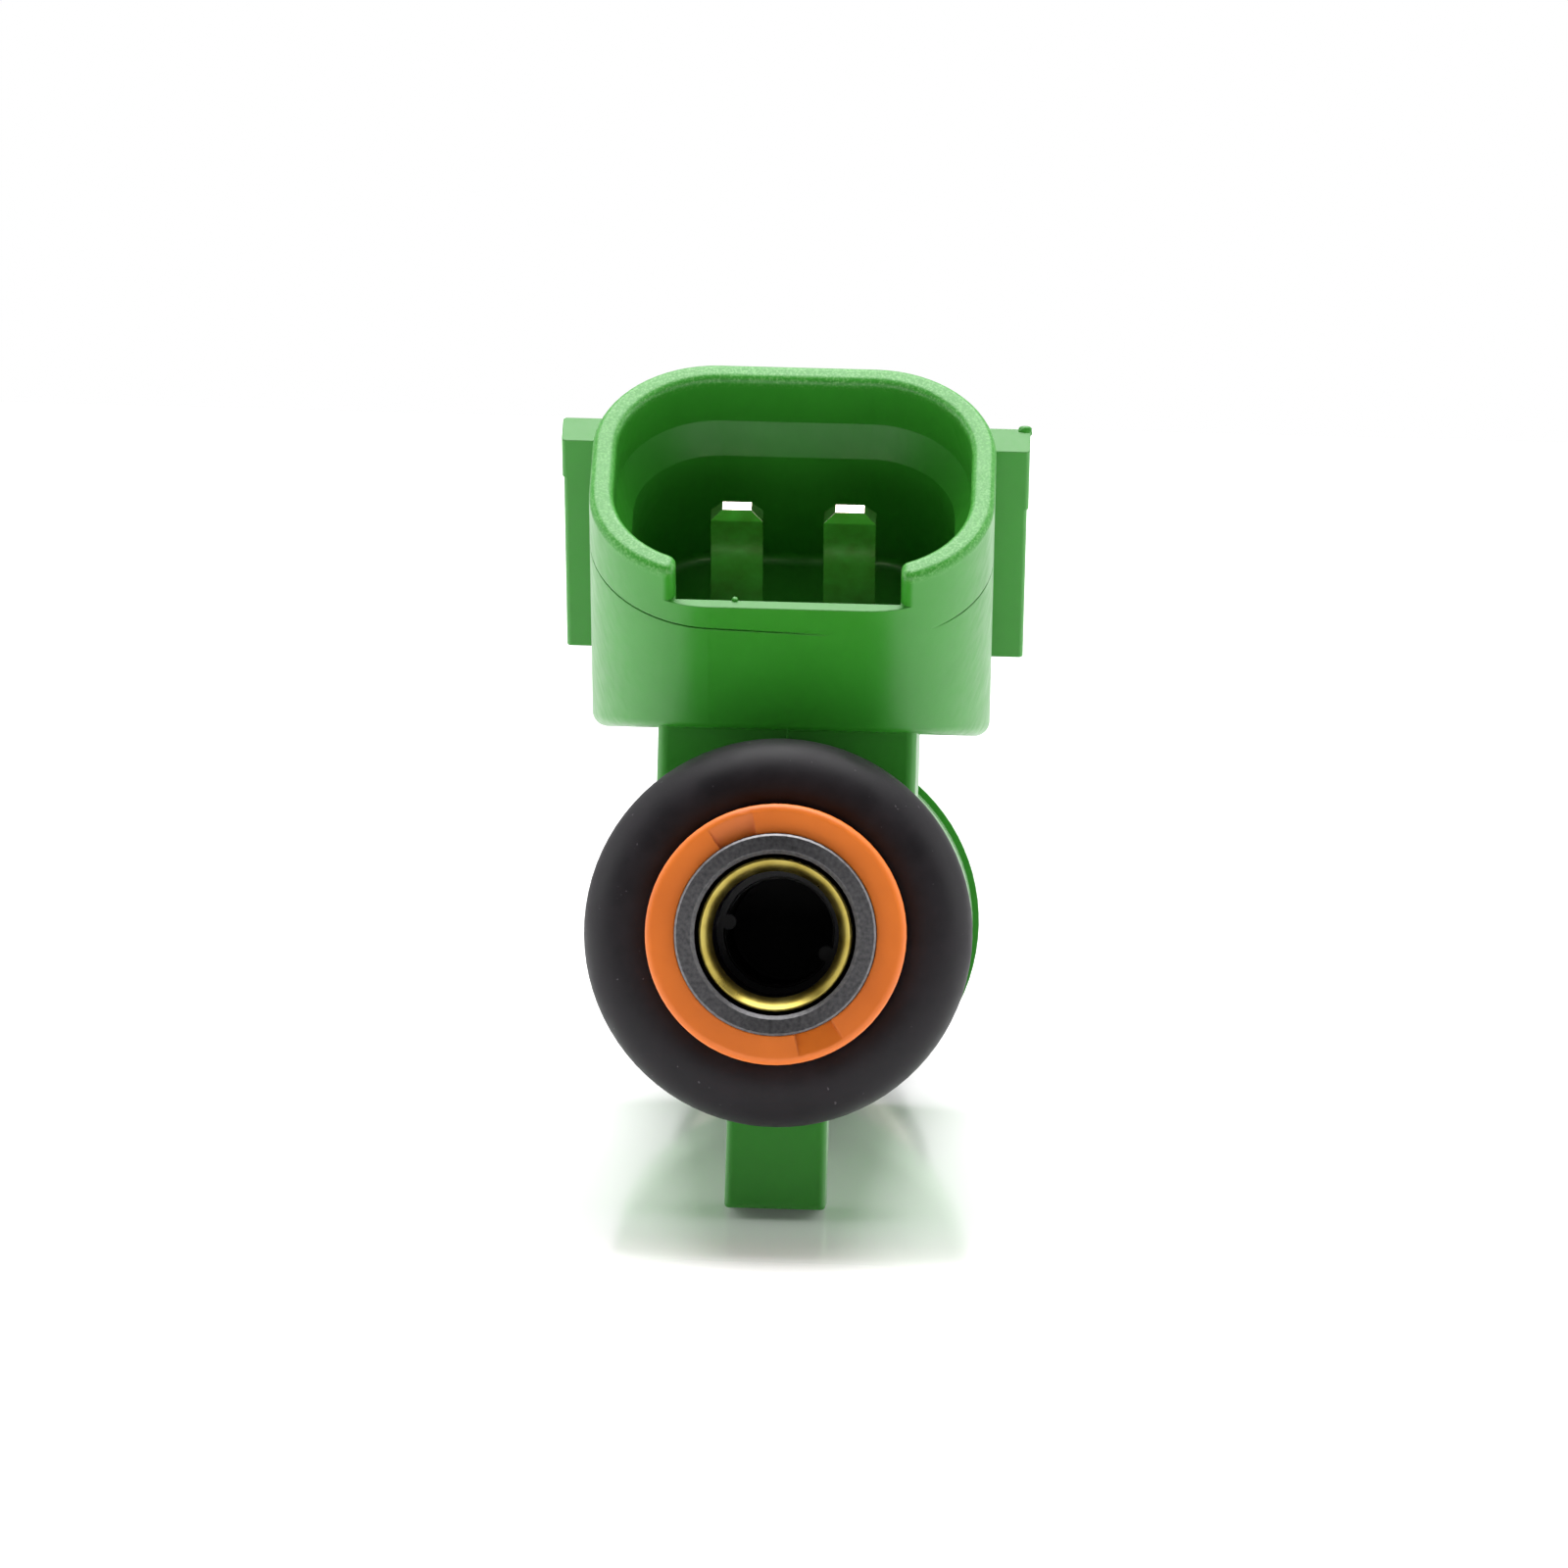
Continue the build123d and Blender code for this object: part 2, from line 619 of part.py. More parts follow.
# ------------------------------------------------------------------ overmoulded body
with BuildPart() as body_overmold:
    # the open end of the connector box: one wall all round, notched in front
    with BuildSketch(mouth) as open_end:
        RectangleRounded(BOX_WIDTH, BOX_HEIGHT, BOX_CORNER_R)
        RectangleRounded(CAVITY_WIDTH, CAVITY_HEIGHT, CAVITY_CORNER_R, mode=Mode.SUBTRACT)
        with Locations((0, -BOX_HEIGHT / 2)):
            Rectangle(NOTCH_WIDTH, BOX_HEIGHT / 2, mode=Mode.SUBTRACT)
        notch_ends = open_end.vertices().filter_by(lambda v: abs(abs(v.X) - NOTCH_WIDTH / 2) < TINY)
        fillet(notch_ends, NOTCH_END_R)
    extrude(amount=-NOTCH_DEPTH)

    # the rest of the box, cut off flat underneath
    with BuildSketch(mouth.offset(-NOTCH_DEPTH)):
        RectangleRounded(BOX_WIDTH, BOX_HEIGHT, BOX_CORNER_R)
    extrude(amount=NOTCH_DEPTH - BOX_DEPTH)
    split(bisect_by=Plane.XY.offset(BOX_UNDERSIDE), keep=Keep.TOP)
    underside = body_overmold.edges().group_by(Axis.Z)[0].sort_by(Axis.Y)
    fillet(underside[:-1], UNDERSIDE_FILLET)

    # the socket: straight, then narrowing, then straight down to its floor
    socket_size = (
        CAVITY_WIDTH - 2 * CAVITY_TAPER,
        CAVITY_HEIGHT - 2 * CAVITY_TAPER,
        CAVITY_CORNER_R - CAVITY_TAPER,
    )
    with BuildSketch(mouth.offset(-NOTCH_DEPTH)):
        RectangleRounded(CAVITY_WIDTH, CAVITY_HEIGHT, CAVITY_CORNER_R)
    extrude(amount=NOTCH_DEPTH - CAVITY_TAPER_START, mode=Mode.SUBTRACT)
    with BuildSketch(mouth.offset(-CAVITY_TAPER_START)):
        RectangleRounded(CAVITY_WIDTH, CAVITY_HEIGHT, CAVITY_CORNER_R)
    with BuildSketch(mouth.offset(-CAVITY_TAPER_END)):
        RectangleRounded(*socket_size)
    loft(mode=Mode.SUBTRACT)
    with BuildSketch(mouth.offset(-CAVITY_TAPER_END)):
        RectangleRounded(*socket_size)
    extrude(amount=CAVITY_TAPER_END - CAVITY_DEPTH, mode=Mode.SUBTRACT)
    socket_floor = body_overmold.faces().filter_by(
        lambda f: abs(mouth.to_local_coords(f.center()).Z + CAVITY_DEPTH) < TINY
    )
    fillet(socket_floor.edges(), CAVITY_FLOOR_FILLET)

    # behind the notch's flat land the wall slopes down into the socket
    land_edge = NOTCH_LAND - BOX_HEIGHT / 2
    slope_outline = [
        mouth.from_local_coords(Vector(0, up_wall, -depth))
        for up_wall, depth in (
            (land_edge, NOTCH_DEPTH),
            (land_edge + NOTCH_SLOPE[0], NOTCH_DEPTH + NOTCH_SLOPE[1]),
            (land_edge + NOTCH_SLOPE[0], NOTCH_DEPTH),
        )
    ]
    with BuildSketch(Plane.YZ.offset(-NOTCH_WIDTH / 2)):
        with BuildLine():
            Polyline(*((corner.Y, corner.Z) for corner in slope_outline), close=True)
        make_face()
    extrude(amount=NOTCH_WIDTH, mode=Mode.SUBTRACT)
    rim = body_overmold.faces().sort_by(Axis((0, 0, 0), (0, -1, 1)))[-1]
    fillet(rim.edges(), RIM_FILLET)

    # a witness line round the outside, fine and shallow
    with BuildSketch(mouth.offset(-WITNESS_DEPTH).rotated((0, WITNESS_TILT, 0))):
        RectangleRounded(BOX_WIDTH + CUT_CLEAR, BOX_HEIGHT + CUT_CLEAR, BOX_CORNER_R)
        RectangleRounded(
            BOX_WIDTH - 2 * WITNESS_SINK,
            BOX_HEIGHT - 2 * WITNESS_SINK,
            BOX_CORNER_R - WITNESS_SINK,
            mode=Mode.SUBTRACT,
        )
    extrude(amount=-WITNESS_WIDTH, mode=Mode.SUBTRACT)

    # the rails on the box's sides; each has a thicker head at the mouth end
    for side, head_end in ((-1, RAIL_LEFT_HEAD_END), (1, RAIL_RIGHT_HEAD_END)):
        for reach, rail_end in ((RAIL_HEAD_REACH, head_end), (RAIL_REACH, RAIL_END)):
            with BuildSketch(mouth.offset(-RAIL_START)):
                with Locations((side * (reach + RAIL_ROOT) / 2, (RAIL_LOW + RAIL_HIGH) / 2)):
                    RectangleRounded(reach - RAIL_ROOT, RAIL_HIGH - RAIL_LOW, RAIL_EDGE_R)
            extrude(amount=RAIL_START - rail_end)

    # the round body, its ribbed grip and its rear flange
    with BuildSketch() as body_section:
        with BuildLine():
            Polyline(
                (TUBE_R + FIT_GAP, COLLAR_FRONT),
                (COLLAR_FRONT_R, COLLAR_FRONT),
                (COLLAR_FRONT_R, GROOVE_START),
                (GROOVE_R, GROOVE_START),
                (GROOVE_R, BODY_START),
                (BODY_R, BODY_START),
                (BODY_R, GRIP_START),
                (GRIP_R, GRIP_START),
                (GRIP_R, GRIP_START + GRIP_LENGTH),
                (BODY_R, GRIP_START + GRIP_LENGTH),
                (BODY_R, FLANGE_START),
                (FLANGE_R, FLANGE_START),
                (FLANGE_R, BODY_END),
                (YOKE_NECK_R + FIT_GAP, BODY_END),
                (YOKE_NECK_R + FIT_GAP, yoke_end + FIT_GAP),
                (YOKE_R + FIT_GAP, yoke_end + FIT_GAP),
                (YOKE_R + FIT_GAP, YOKE_START - FIT_GAP),
                (TUBE_R + FIT_GAP, YOKE_START - FIT_GAP),
                close=True,
            )
        make_face()
        outline = body_section.vertices().filter_by(lambda v: v.X > GRIP_R - TINY)
        ends = outline.filter_by(lambda v: v.Y < GRIP_START - TINY or v.Y > BODY_END - TINY)
        fillet(ends, BODY_FILLET)
        with Locations(*[(GRIP_R, GRIP_START + (n + 1) * rib_pitch) for n in range(GRIP_RIBS)]):
            Rectangle(2 * (BODY_R - GRIP_R), GRIP_RIB_WIDTH)
    revolve(axis=Axis.Y)

    # the neck under the connector, with the web that slopes down behind it
    with BuildSketch(Plane.YZ.offset(-NECK_WIDTH / 2)):
        with BuildLine():
            Polyline(
                (NECK_START, TUBE_R + ROOT),
                (NECK_START, BOX_UNDERSIDE + NECK_LAP),
                (NECK_START + NECK_SHELF, BOX_UNDERSIDE + NECK_LAP),
                WEB_TOP,
                (NECK_END, WEB_FOOT_HEIGHT),
                (NECK_END, BODY_R - ROOT),
                (YOKE_START - ROOT, BODY_R - 2 * ROOT),
                (YOKE_START - ROOT, TUBE_R + ROOT),
                close=True,
            )
        make_face()
    extrude(amount=NECK_WIDTH)
    side_edges = body_overmold.edges().filter_by(lambda e: abs(abs(e.center().X) - NECK_WIDTH / 2) < TINY)
    front_edges = side_edges.filter_by(Axis.Z).sort_by(Axis.Y)[:2]
    rear_edges = side_edges.filter_by(Axis.Z).sort_by(Axis.Y)[-2:]
    web_edges = side_edges.filter_by(lambda e: e.center().Z > BOX_UNDERSIDE).sort_by(Axis.Z)[-2:]
    behind = body_overmold.edges().filter_by(lambda e: abs(e.center().Y - NECK_END) < TINY)
    rear_top = behind.filter_by(Axis.X).sort_by(Axis.Z)[-1:]
    fillet(front_edges + rear_edges + web_edges + rear_top, NECK_FILLET)

    # the locating tab underneath
    with BuildSketch(Plane.XY.offset(TAB_BOTTOM)):
        with Locations((0, TAB_START + TAB_LENGTH / 2)):
            RectangleRounded(TAB_WIDTH, TAB_LENGTH, TAB_FILLET)
    extrude(amount=-TAB_BOTTOM - BODY_R + ROOT)
    fillet(body_overmold.edges().group_by(Axis.Z)[0], TAB_FOOT_FILLET)

    # the room that the yoke and the terminals take
    revolve(
        ring_profile(0, YOKE_R + FIT_GAP, YOKE_START - FIT_GAP, yoke_end + FIT_GAP),
        axis=Axis.Y,
        mode=Mode.SUBTRACT,
    )
    add(terminals, mode=Mode.SUBTRACT)

body_overmold.part.label = "body_overmold"
export_step(body_overmold.part, "parts/body_overmold.step")
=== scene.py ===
"""The fuel injector's looks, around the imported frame: materials, fine details, floor, light and camera."""

import json
import math

import bmesh
import bpy
from mathutils import Matrix, Vector
from mathutils import noise as perlin


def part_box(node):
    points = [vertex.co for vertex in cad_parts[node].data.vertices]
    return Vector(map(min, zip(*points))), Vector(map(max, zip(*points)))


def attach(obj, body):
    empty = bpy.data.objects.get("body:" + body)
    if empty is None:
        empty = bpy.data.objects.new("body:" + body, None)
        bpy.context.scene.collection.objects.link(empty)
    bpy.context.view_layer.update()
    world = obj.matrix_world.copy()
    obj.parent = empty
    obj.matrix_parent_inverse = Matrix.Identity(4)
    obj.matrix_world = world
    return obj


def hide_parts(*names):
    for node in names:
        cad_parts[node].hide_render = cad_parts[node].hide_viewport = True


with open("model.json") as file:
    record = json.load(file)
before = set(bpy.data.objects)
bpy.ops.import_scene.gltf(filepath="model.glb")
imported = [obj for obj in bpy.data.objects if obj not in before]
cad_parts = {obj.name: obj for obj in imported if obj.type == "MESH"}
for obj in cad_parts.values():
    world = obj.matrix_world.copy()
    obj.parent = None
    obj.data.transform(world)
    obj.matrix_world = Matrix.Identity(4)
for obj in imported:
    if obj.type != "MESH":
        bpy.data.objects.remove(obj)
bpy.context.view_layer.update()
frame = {"nodes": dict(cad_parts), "record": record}

MM = 0.001
BODY = "injector_body"
WHITE = (1, 1, 1, 1)

# ------------------------------------------------------------------ places
# The injector's axis is y, with the fuel inlet at its low end, and x is across. The rest is read
# from the frame.
mounts = {mount["name"]: mount for mount in frame["record"]["mounts"]}
mouth = Vector(mounts["connector_socket"]["pos_m"])  # the middle of the connector's open end
mouth_out = Vector(mounts["connector_socket"]["axis"])
across = Vector((1, 0, 0))
mouth_back = mouth_out.cross(across)  # from the connector's near wall towards its back wall
tab_foot = Vector(mounts["tab_rest"]["pos_m"])
collar_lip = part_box("filter_collar")[0].y
seal_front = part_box("upper_o_ring")[0].y
moulding_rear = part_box("body_overmold")[1].y

# Where the connector's small details are: across, towards its back wall, and out of its mouth.
RAIL_CORNER = Vector((8.75 * MM, 4.0 * MM, -1.45 * MM))
NOTCH_PIP = Vector((-2.0 * MM, -5.5 * MM, -1.6 * MM))
WALL_FRONT = 5.93 * MM  # from the connector's middle to the outside of its near wall
SEAM_START = 3.5 * MM  # down the near wall from the mouth
SEAM_END = 8.6 * MM


def at_mouth(place):
    """A point given across, towards the back wall, and out of the mouth."""
    return mouth + across * place.x + mouth_back * place.y + mouth_out * place.z


# ------------------------------------------------------------------ material helpers
NOISE_LOW = 0.3  # nearly all of a noise lies between these two
NOISE_HIGH = 0.7
EDGE_SAMPLES = 4  # rays that look for a sharp edge round each point
METAL_EDGE = 0.03 * MM  # how far a metal part's edges look rounded off


def feed(tree, node, inputs):
    """Links a node's inputs to the sockets given, or sets them to the values given."""
    for key, value in inputs.items():
        if isinstance(value, bpy.types.NodeSocket):
            tree.links.new(value, node.inputs[key])
        else:
            node.inputs[key].default_value = value


def add_node(tree, kind, inputs, **settings):
    """Adds a node, sets its properties, then links or sets its inputs."""
    made = tree.nodes.new(kind)
    for key, value in settings.items():
        setattr(made, key, value)
    feed(tree, made, inputs)
    return made


def new_material(name):
    """A node material, its tree, its Principled shader, and the object's own coordinates."""
    made = bpy.data.materials.new(name)
    made.use_nodes = True
    tree = made.node_tree
    shader = next(n for n in tree.nodes if n.type == "BSDF_PRINCIPLED")
    place = add_node(tree, "ShaderNodeTexCoord", {}).outputs["Object"]
    return made, tree, shader, place


def along_y(tree, vector):
    """A vector's y."""
    return add_node(tree, "ShaderNodeSeparateXYZ", {"Vector": vector}).outputs["Y"]


def length(tree, vector):
    """A vector's length."""
    return add_node(tree, "ShaderNodeVectorMath", {0: vector}, operation="LENGTH").outputs["Value"]


def noise(tree, place, size, detail, squeeze=(1, 1, 1)):
    """Noise with grains about size metres across, packed closer along each axis by squeeze."""
    squeezed = add_node(tree, "ShaderNodeMapping", {"Vector": place, "Scale": squeeze})
    inputs = {"Vector": squeezed.outputs["Vector"], "Scale": 1 / size, "Detail": detail}
    return add_node(tree, "ShaderNodeTexNoise", inputs).outputs["Fac"]


def turned_marks(tree, place, pitch):
    """Fine rings round the injector's axis, as a lathe leaves them."""
    crosswise = add_node(tree, "ShaderNodeVectorMath", {0: place, 1: (1, 0, 1)}, operation="MULTIPLY")
    radius = length(tree, crosswise.outputs["Vector"])
    inputs = {"W": radius, "Scale": 1 / pitch, "Detail": 3}
    return add_node(tree, "ShaderNodeTexNoise", inputs, noise_dimensions="1D").outputs["Fac"]


def ramp(tree, value, low, high, dark, light):
    """Turns a value between low and high into a colour between dark and light."""
    made = add_node(tree, "ShaderNodeValToRGB", {"Fac": value})
    first, last = made.color_ramp.elements
    first.position = low
    first.color = (*dark, 1)
    last.position = high
    last.color = (*light, 1)
    return made.outputs["Color"]


def spread(tree, value, low, high, to_low, to_high):
    """Maps a value from low..high to to_low..to_high."""
    inputs = {"Value": value, "From Min": low, "From Max": high, "To Min": to_low, "To Max": to_high}
    return add_node(tree, "ShaderNodeMapRange", inputs).outputs["Result"]


def vary(tree, value, middle, below, above):
    """Spreads a noise from below the middle to above it."""
    return spread(tree, value, NOISE_LOW, NOISE_HIGH, middle - below, middle + above)


def mix(tree, factor, first, second, blend_type="MIX"):
    """Mixes or adds two colours."""
    inputs = {"Factor": factor, "A": first, "B": second}
    made = add_node(tree, "ShaderNodeMix", inputs, data_type="RGBA", blend_type=blend_type)
    return made.outputs["Result"]


def soften(tree, radius):
    """A normal that makes sharp edges look rounded off by radius."""
    return add_node(tree, "ShaderNodeBevel", {"Radius": radius}, samples=EDGE_SAMPLES).outputs["Normal"]


def bump(tree, height, strength, distance, normal=None):
    """A bump from a height; distance is in metres."""
    inputs = {"Height": height, "Strength": strength, "Distance": distance}
    if normal is not None:
        inputs["Normal"] = normal
    return add_node(tree, "ShaderNodeBump", inputs).outputs["Normal"]


# ------------------------------------------------------------------ kinds of material
def moulded_plastic(name, dark, light, roughness, edge=0.06 * MM):
    """Moulded plastic: faint cloudy colour, a fine spark-eroded grain and softened edges."""
    made, tree, shader, place = new_material(name)
    clouds = noise(tree, place, size=4 * MM, detail=4)
    grain = noise(tree, place, size=0.1 * MM, detail=3)
    look = {
        "Base Color": ramp(tree, clouds, NOISE_LOW, NOISE_HIGH, dark, light),
        "Roughness": vary(tree, clouds, roughness, below=0.04, above=0.04),
        "Normal": bump(tree, grain, strength=0.6, distance=0.004 * MM, normal=soften(tree, edge)),
    }
    feed(tree, shader, look)
    return made


def connector_plastic(name, dark, light, roughness):
    """The body's green plastic: glossy, faintly dragged along z, with pale specks painted on the rim as a
    highlight.
    """
    # The painted highlight specks lie along the mouth's rim, down to these depths.
    rim_depth = 0.5 * MM  # from the mouth down to where the specks end
    rim_full = 0.1 * MM  # and down to where they begin to fade
    made, tree, shader, place = new_material(name)
    clouds = noise(tree, place, size=3 * MM, detail=4)
    fine = noise(tree, place, size=0.09 * MM, detail=3)
    drag = noise(tree, place, size=0.25 * MM, detail=3, squeeze=(1, 1, 0.12))
    outward = add_node(tree, "ShaderNodeVectorMath", {0: place, 1: mouth_out}, operation="DOT_PRODUCT")
    rim = mouth.dot(mouth_out)
    # Pale specks mixed into the colour along the rim only: a painted highlight.
    rim_highlight_mask = spread(tree, outward.outputs["Value"], rim - rim_depth, rim - rim_full, 0, 1)
    colour = ramp(tree, clouds, NOISE_LOW, NOISE_HIGH, dark, light)
    rim_highlight_specks = ramp(tree, fine, 0.45, 0.72, (0, 0, 0), (0.10, 0.15, 0.08))
    grain = bump(tree, fine, strength=0.5, distance=0.003 * MM, normal=soften(tree, 0.07 * MM))
    look = {
        "Base Color": mix(tree, rim_highlight_mask, colour, rim_highlight_specks, "ADD"),
        "Roughness": vary(tree, drag, roughness, below=0.05, above=0.07),
        "Normal": bump(tree, drag, strength=0.25, distance=0.004 * MM, normal=grain),
        "Specular IOR Level": 0.38,
        "Coat Weight": 0.08,
        "Coat Roughness": 0.3,
    }
    feed(tree, shader, look)
    return made


def metal(name, dark, light, roughness, squeeze=(1, 1, 1), scratch=0.05 * MM, depth=0.001 * MM):
    """Bare metal: stained in patches, with fine marks that squeeze lines up the way it was worked."""
    made, tree, shader, place = new_material(name)
    marks = noise(tree, place, size=scratch, detail=2, squeeze=squeeze)
    stains = noise(tree, place, size=0.7 * MM, detail=5)
    look = {
        "Base Color": ramp(tree, stains, 0.32, 0.68, dark, light),
        "Roughness": vary(tree, marks, roughness, below=0.08, above=0.08),
        "Normal": bump(tree, marks, strength=0.5, distance=depth, normal=soften(tree, METAL_EDGE)),
        "Metallic": 1,
    }
    feed(tree, shader, look)
    return made


def turned_steel(name, dark, light, roughness):
    """Steel turned on a lathe: rings round the axis that stretch every reflection across them."""
    made, tree, shader, place = new_material(name)
    rings = turned_marks(tree, place, pitch=0.12 * MM)
    stains = noise(tree, place, size=0.15 * MM, detail=4)
    around = add_node(tree, "ShaderNodeTangent", {}, direction_type="RADIAL", axis="Y")
    look = {
        "Base Color": ramp(tree, stains, 0.3, 0.75, dark, light),
        "Roughness": vary(tree, stains, roughness, below=0.05, above=0.05),
        "Normal": bump(tree, rings, strength=0.3, distance=0.0015 * MM, normal=soften(tree, METAL_EDGE)),
        "Tangent": around.outputs["Tangent"],
        "Anisotropic": 0.7,
        "Metallic": 1,
    }
    feed(tree, shader, look)
    return made


def collar_brass(name, dark, light, roughness):
    """The collar's brass: a bright flared lip, and a bore painted nearly black further in as shade."""
    # Painted shade in the bore: nearly black from these depths in from the lip.
    bore_shade_start = 0.5 * MM  # in from the lip
    bore_shade_full = 0.65 * MM
    bore_shade_colour = (0.03, 0.025, 0.032, 1)
    made, tree, shader, place = new_material(name)
    rings = turned_marks(tree, place, pitch=0.1 * MM)
    patches = noise(tree, place, size=0.8 * MM, detail=2)
    bright = ramp(tree, patches, 0.35, 0.65, dark, light)
    # Where the bore is painted dark as shade.
    bore_shade_mask = spread(tree, along_y(tree, place), collar_lip + bore_shade_start, collar_lip + bore_shade_full, 0, 1)
    look = {
        "Base Color": mix(tree, bore_shade_mask, bright, bore_shade_colour),
        "Roughness": vary(tree, patches, roughness, below=0.03, above=0.03),
        "Normal": bump(tree, rings, strength=0.15, distance=0.0005 * MM),
        "Metallic": 1,
    }
    feed(tree, shader, look)
    return made


def rubber(name, dark, light, roughness):
    """Moulded rubber: a soft bloom and a few specks of dust over a fine matt grain."""
    made, tree, shader, place = new_material(name)
    bloom = noise(tree, place, size=1.2 * MM, detail=6)
    grain = noise(tree, place, size=0.08 * MM, detail=2)
    dust = noise(tree, place, size=0.22 * MM, detail=1)
    colour = ramp(tree, bloom, 0.35, 0.75, dark, light)
    specks = ramp(tree, dust, 0.76, 0.80, (0, 0, 0), (0.05, 0.045, 0.05))
    look = {
        "Base Color": mix(tree, 1, colour, specks, "ADD"),
        "Roughness": vary(tree, bloom, roughness, below=0.05, above=0.08),
        "Normal": bump(tree, grain, strength=0.5, distance=0.003 * MM),
        "Specular IOR Level": 0.22,
    }
    feed(tree, shader, look)
    return made


# ------------------------------------------------------------------ materials
# Each is given its darkest colour, its lightest colour and its roughness.
slot_materials = {
    "green_plastic": connector_plastic(
        "green_plastic", (0.029, 0.232, 0.016), (0.033, 0.252, 0.019), 0.36
    ),
    "orange_plastic": moulded_plastic(
        "orange_plastic", (0.64, 0.134, 0.004), (0.74, 0.166, 0.006), 0.5, edge=0.1 * MM
    ),
    "black_plastic": moulded_plastic("black_plastic", (0.012, 0.012, 0.013), (0.02, 0.02, 0.021), 0.45),
    "pale_plastic": moulded_plastic("pale_plastic", (0.50, 0.46, 0.38), (0.60, 0.56, 0.47), 0.5),
    "black_rubber": rubber("black_rubber", (0.006, 0.005, 0.007), (0.012, 0.010, 0.013), 0.5),
    "tube_steel": turned_steel("tube_steel", (0.085, 0.083, 0.087), (0.16, 0.158, 0.165), 0.36),
    "valve_steel": metal("valve_steel", (0.42, 0.42, 0.43), (0.55, 0.55, 0.56), 0.25),
    "ball_steel": metal("ball_steel", (0.60, 0.60, 0.62), (0.70, 0.70, 0.72), 0.14),
    "spring_steel": metal("spring_steel", (0.25, 0.25, 0.27), (0.38, 0.38, 0.40), 0.3),
    "brass": collar_brass("brass", (0.36, 0.28, 0.06), (0.48, 0.39, 0.10), 0.3),
    "copper_wire": metal(
        "copper_wire",
        (0.45, 0.14, 0.05),
        (0.62, 0.22, 0.09),
        0.3,
        squeeze=(1, 20, 1),
        scratch=0.3 * MM,
        depth=0.02 * MM,
    ),
    "tinned_copper": metal(
        "tinned_copper", (0.66, 0.52, 0.44), (0.82, 0.74, 0.68), 0.14, depth=0.0004 * MM
    ),
    "mesh_nylon": moulded_plastic("mesh_nylon", (0.02, 0.02, 0.018), (0.05, 0.05, 0.045), 0.6),
}
for part in frame["record"]["subparts"]:
    data = frame["nodes"][part["node"]].data
    data.materials.clear()
    data.materials.append(slot_materials[part["material_slot"]])


# ------------------------------------------------------------------ pieces
def new_piece(name, slot, shape):
    """Turns a bmesh into a piece that rides on the injector's body."""
    bmesh.ops.recalc_face_normals(shape, faces=shape.faces)
    mesh = bpy.data.meshes.new(name)
    shape.to_mesh(mesh)
    shape.free()
    mesh.materials.append(slot_materials[slot])
    made = bpy.data.objects.new(name, mesh)
    bpy.context.scene.collection.objects.link(made)
    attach(made, BODY)
    return made


def make_screen():
    """The filter's screen: fine square openings all round, in place of the plain tube."""
    opening = 0.3 * MM
    wire = 0.09 * MM
    low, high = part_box("filter_mesh")
    radius = high.x - wire / 2
    around = round(2 * math.pi * radius / opening)
    rows = round((high.y - low.y - wire) / opening)
    shape = bmesh.new()
    rings = []
    for row in range(rows + 1):
        y = low.y + wire / 2 + (high.y - low.y - wire) * row / rows
        angles = [2 * math.pi * step / around for step in range(around)]
        rings.append([shape.verts.new((radius * math.cos(a), y, radius * math.sin(a))) for a in angles])
    for near, far in zip(rings, rings[1:]):
        for step in range(around):
            after = (step + 1) % around
            shape.faces.new((near[step], near[after], far[after], far[step]))
    screen = new_piece("filter_screen", "mesh_nylon", shape)
    wires = screen.modifiers.new("wires", "WIREFRAME")
    wires.thickness = wire
    wires.use_boundary = True
    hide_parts("filter_mesh")


def make_seam():
    """The mould's parting seam: a hair-fine raised line down the middle of the connector's near wall."""
    half_width = 0.03 * MM
    half_crest = 0.4 * half_width
    proud = 0.015 * MM
    shape = bmesh.new()
    wall = mouth - mouth_back * WALL_FRONT
    section = (
        across * -half_width + mouth_back * proud,
        across * -half_crest - mouth_back * proud,
        across * half_crest - mouth_back * proud,
        across * half_width + mouth_back * proud,
    )
    ends = []
    for depth in (SEAM_START, SEAM_END):
        ends.append([shape.verts.new(wall - mouth_out * depth + point) for point in section])
    top, foot = ends
    shape.faces.new(top)
    shape.faces.new(reversed(foot))
    for corner in range(len(section)):
        after = (corner + 1) % len(section)
        shape.faces.new((top[corner], top[after], foot[after], foot[corner]))
    new_piece("parting_seam", "green_plastic", shape)


def make_flash(name, place, size):
    """A torn scrap of moulding flash, lumpy and flattened, about size across."""
    lumpiness = 0.35  # how far a lump stands out, as a part of the radius
    lump_rate = 1.3  # lumps to a radius
    shape = bmesh.new()
    bmesh.ops.create_icosphere(shape, subdivisions=3, radius=1)
    for vert in shape.verts:
        lump = 1 + lumpiness * perlin.noise(vert.co * lump_rate + place / MM)
        vert.co = Vector(vert.co[axis] * lump * size[axis] / 2 for axis in range(3)) + place
    for face in shape.faces:
        face.smooth = True
    new_piece(name, "green_plastic", shape)


make_screen()
make_seam()
make_flash("rail_flash", at_mouth(RAIL_CORNER), (0.6 * MM, 0.3 * MM, 0.45 * MM))
make_flash("notch_pip", at_mouth(NOTCH_PIP), (0.25 * MM, 0.2 * MM, 0.2 * MM))

# ------------------------------------------------------------------ floor
# The injector lies on its tab and on its rear flange, so the floor slopes a little along the axis.
FLANGE_R = 7.45 * MM
TAB_EDGE = 1.75 * MM  # from the middle of the tab's foot to its rear edge
tab_touch = tab_foot + Vector((0, TAB_EDGE, 0))
flange_touch = Vector((0, moulding_rear, -FLANGE_R))
slope = math.atan2(flange_touch.z - tab_touch.z, flange_touch.y - tab_touch.y)

